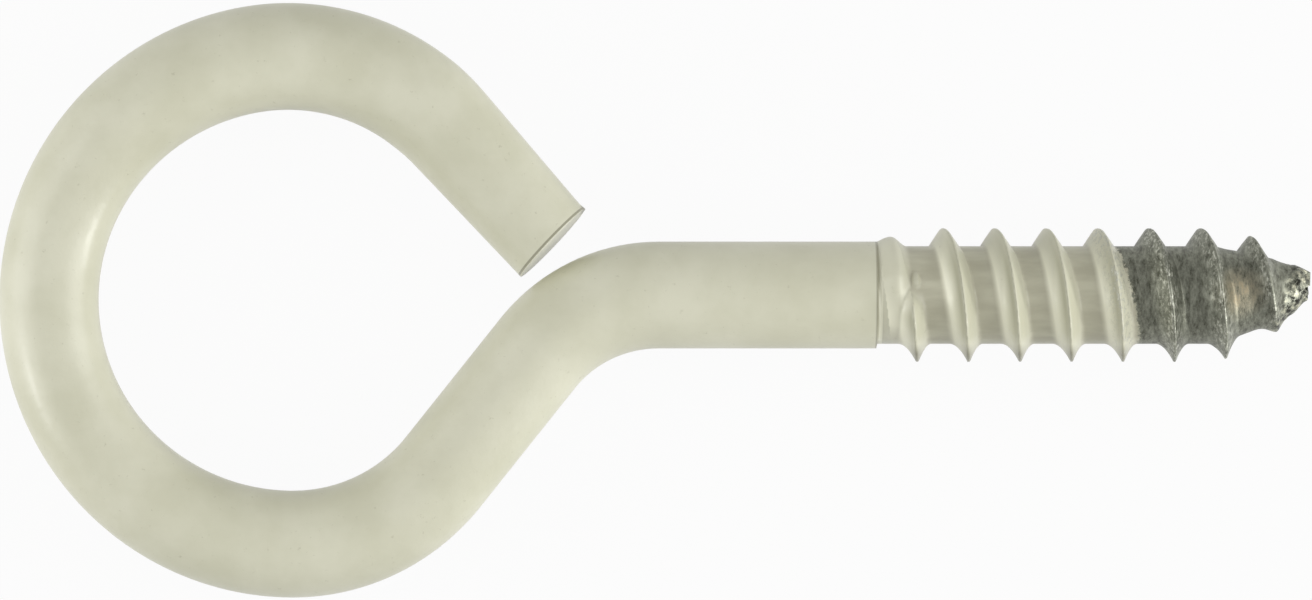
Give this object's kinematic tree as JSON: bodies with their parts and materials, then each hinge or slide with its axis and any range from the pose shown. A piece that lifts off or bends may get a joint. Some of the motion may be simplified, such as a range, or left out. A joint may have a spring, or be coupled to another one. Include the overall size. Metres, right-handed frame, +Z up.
{
  "type": "screw eye",
  "caption": "One-piece wire screw eye: a bent round eye with a sheared end on a plain shank, and a right-hand wood-screw thread with a broken point.",
  "frame": {"origin": "on the shank's axis, at the shoulder where the thread starts", "axes": "+X along the shank to the point, the eye lies flat in the XY plane, +Z up from the surface that the screw eye lies on"},
  "size_m": [0.05, 0.0226, 0.005],
  "materials": {
    "wire_steel": "semi-gloss cream paint on steel wire, worn to bare grey steel on the last turns of the thread and the point"
  },
  "bodies": {
    "root": {"screw_eye": "wire_steel"}
  },
  "joints": []
}
